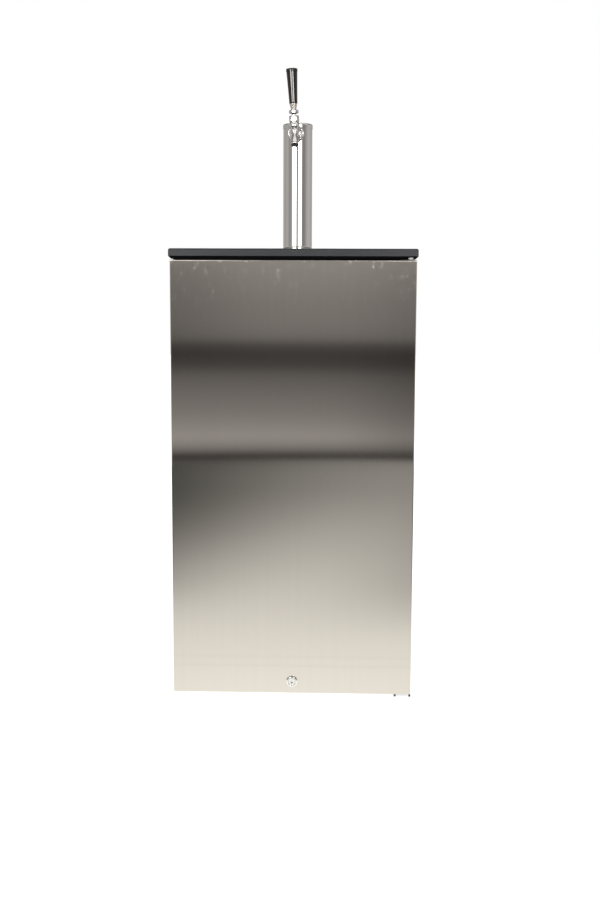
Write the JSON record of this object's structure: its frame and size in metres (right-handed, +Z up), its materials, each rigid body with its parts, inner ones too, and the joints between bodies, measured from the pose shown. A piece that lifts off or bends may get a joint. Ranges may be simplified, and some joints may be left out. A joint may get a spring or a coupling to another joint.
{
  "type": "beer tap tower with keg cooler",
  "caption": "Chrome draught beer tower with a lever faucet and black tap handle, standing on a keg cooler cabinet with a hinged, lockable stainless door and a lift-out drip tray.",
  "frame": {"origin": "on the floor under the middle of the worktop", "axes": "+Z up, the door and the faucet face -Y"},
  "size_m": [0.606, 0.62, 1.5809],
  "materials": {
    "case_paint": "satin black",
    "zinc": "zinc plated",
    "stainless": "vertical brush",
    "chrome": "polished",
    "worktop": "dark satin",
    "white_plastic": "gloss",
    "foam": "rigid foam",
    "rubber": "matte",
    "gasket": "matte",
    "aluminium": "roll bonded",
    "dark_plastic": "moulded",
    "grey_plastic": "moulded",
    "handle_plastic": "gloss black"
  },
  "bodies": {
    "cabinet": {"base_pan": "zinc", "left_side_panel": "case_paint", "right_side_panel": "case_paint", "rear_panel": "case_paint", "kick_panel": "case_paint", "bay_ceiling": "zinc", "face_frame": "case_paint", "cabinet_foam": "foam", "inner_liner": "white_plastic", "deck_plate": "stainless", "evaporator_plate": "aluminium", "thermostat_housing": "white_plastic", "compressor": "case_paint", "compressor_grommets": "rubber", "relay_box": "dark_plastic", "cord_gland": "rubber", "condenser_tube": "case_paint", "condenser_wires": "case_paint", "condenser_brackets": "dark_plastic", "upper_hinge_bracket": "zinc", "lower_hinge_bracket": "case_paint", "hinge_screws": "zinc", "lock_keeper": "zinc", "countertop": "worktop", "tower_gasket": "rubber", "tower_flange": "chrome", "tower_screws": "zinc", "tower_column": "chrome", "tower_cap": "chrome", "tower_insulation": "foam", "beer_tube": "stainless", "shank": "chrome", "shank_flange": "chrome", "shank_nut": "zinc", "coupling_nut": "chrome", "faucet_body": "chrome", "friction_washer": "white_plastic", "bonnet_nut": "chrome"},
    "door": {"door_skin": "stainless", "door_foam": "foam", "door_liner": "white_plastic", "door_gasket": "gasket", "hinge_bushes": "white_plastic", "lock_barrel": "chrome", "lock_nut": "zinc"},
    "lock": {"lock_plug": "chrome", "lock_cam": "zinc"},
    "lever": {"faucet_lever": "stainless", "lever_collar": "chrome", "handle_ferrule": "stainless", "tap_handle": "handle_plastic"},
    "valve": {"plunger_shaft": "stainless", "seat_washer": "rubber"},
    "tray": {"drip_tray": "stainless"},
    "grille": {"drip_grille": "stainless"},
    "knob": {"thermostat_knob": "grey_plastic"},
    "foot_front_left": {"front_left_foot": "dark_plastic"},
    "foot_front_right": {"front_right_foot": "dark_plastic"},
    "foot_rear_left": {"rear_left_foot": "dark_plastic"},
    "foot_rear_right": {"rear_right_foot": "dark_plastic"}
  },
  "joints": [
    {"name": "door_hinge", "type": "hinge", "parent": "cabinet", "child": "door", "pos_m": [0.285, -0.278, 0.5], "axis": [0, 0, 1], "range_deg": [0, 110]},
    {"name": "lock_turn", "type": "hinge", "parent": "door", "child": "lock", "pos_m": [0, -0.304, 0.0426], "axis": [0, 1, 0], "range_deg": [0, 90]},
    {"name": "lever_tilt", "type": "hinge", "parent": "cabinet", "child": "lever", "pos_m": [-0.00562, -0.09985, 1.44847], "axis": [0.9977, -0.0436, 0.0523], "range_deg": [0, 20]},
    {"name": "valve_slide", "type": "slide", "parent": "cabinet", "child": "valve", "axis": [0.0436, 0.999, 0], "range_m": [0, 0.0083]},
    {"name": "tray_lift", "type": "slide", "parent": "cabinet", "child": "tray", "axis": [0, 0, 1], "range_m": [0, 0.04]},
    {"name": "grille_lift", "type": "slide", "parent": "tray", "child": "grille", "axis": [0, 0, 1], "range_m": [0, 0.025]},
    {"name": "thermostat_turn", "type": "hinge", "parent": "cabinet", "child": "knob", "pos_m": [0.18, -0.14, 1.034], "axis": [0, 1, 0], "range_deg": [0, 270]},
    {"name": "foot_front_left_screw", "type": "hinge", "parent": "cabinet", "child": "foot_front_left", "pos_m": [-0.255, -0.195, 0], "axis": [0, 0, 1], "continuous": true},
    {"name": "foot_front_right_screw", "type": "hinge", "parent": "cabinet", "child": "foot_front_right", "pos_m": [0.255, -0.195, 0], "axis": [0, 0, 1], "continuous": true},
    {"name": "foot_rear_left_screw", "type": "hinge", "parent": "cabinet", "child": "foot_rear_left", "pos_m": [-0.255, 0.235, 0], "axis": [0, 0, 1], "continuous": true},
    {"name": "foot_rear_right_screw", "type": "hinge", "parent": "cabinet", "child": "foot_rear_right", "pos_m": [0.255, 0.235, 0], "axis": [0, 0, 1], "continuous": true}
  ],
  "couplings": [
    {"joint": "valve_slide", "follows": "lever_tilt", "m_per_rad": 0.023516}
  ]
}
